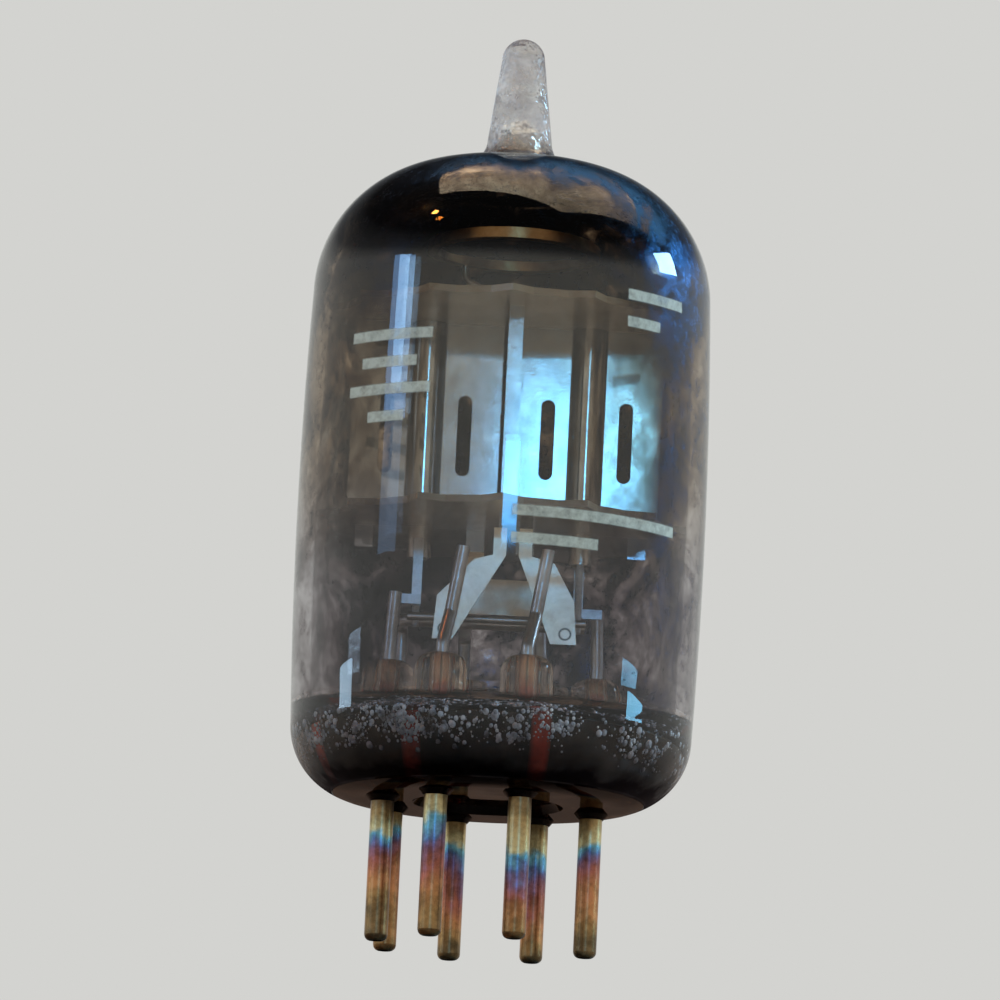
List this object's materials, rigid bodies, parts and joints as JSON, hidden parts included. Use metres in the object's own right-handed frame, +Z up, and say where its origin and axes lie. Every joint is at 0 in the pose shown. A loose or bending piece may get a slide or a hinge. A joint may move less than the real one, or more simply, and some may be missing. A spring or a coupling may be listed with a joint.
{
  "type": "vacuum tube",
  "caption": "Miniature glass vacuum tube with a tipped-off dome, a wire-pinned pressed glass stem and a twin diode mount between toothed mica discs.",
  "frame": {"origin": "on the tube's axis, on the plane of the pin ends", "axes": "+Z up the tube to the tip; +X through the right-hand diode as seen from the front; -Y is the front, the side with the two spread straps"},
  "size_m": [0.018, 0.018, 0.0408],
  "materials": {
    "bulb_glass": "soft glass, clear, darkened from inside by a grey getter film",
    "stem_glass": "pressed soft glass, clear to amber",
    "pin_metal": "nickel-iron, heat tinted",
    "seal_metal": "copper-clad wire, red oxide in the glass",
    "lead_nickel": "drawn nickel, dull",
    "strap_nickel": "nickel sheet, bright",
    "anode_metal": "nickel-plated steel sheet, pressed, bright",
    "cathode_nickel": "thin nickel tube",
    "heater_coating": "white alumina coating on tungsten wire",
    "mica": "punched mica sheet, brownish",
    "getter_metal": "nickel-plated channel, heat darkened"
  },
  "bodies": {
    "root": {"glass_bulb": "bulb_glass", "button_stem": "stem_glass", "base_pin_1": "pin_metal", "seal_wire_1": "seal_metal", "inner_lead_1": "lead_nickel", "base_pin_2": "pin_metal", "seal_wire_2": "seal_metal", "inner_lead_2": "lead_nickel", "base_pin_3": "pin_metal", "seal_wire_3": "seal_metal", "inner_lead_3": "lead_nickel", "base_pin_4": "pin_metal", "seal_wire_4": "seal_metal", "inner_lead_4": "lead_nickel", "base_pin_5": "pin_metal", "seal_wire_5": "seal_metal", "inner_lead_5": "lead_nickel", "base_pin_6": "pin_metal", "seal_wire_6": "seal_metal", "inner_lead_6": "lead_nickel", "base_pin_7": "pin_metal", "seal_wire_7": "seal_metal", "inner_lead_7": "lead_nickel", "lower_mica": "mica", "upper_mica": "mica", "left_cathode": "cathode_nickel", "left_heater": "heater_coating", "left_cathode_ribbon": "lead_nickel", "left_anode_front": "anode_metal", "left_anode_back": "anode_metal", "right_cathode": "cathode_nickel", "right_heater": "heater_coating", "right_cathode_ribbon": "lead_nickel", "right_anode_front": "anode_metal", "right_anode_back": "anode_metal", "heater_link": "lead_nickel", "center_shield": "anode_metal", "shield_strap": "strap_nickel", "right_anode_strap": "strap_nickel", "left_anode_strap": "strap_nickel", "getter_ring": "getter_metal", "getter_post": "lead_nickel"}
  },
  "joints": []
}
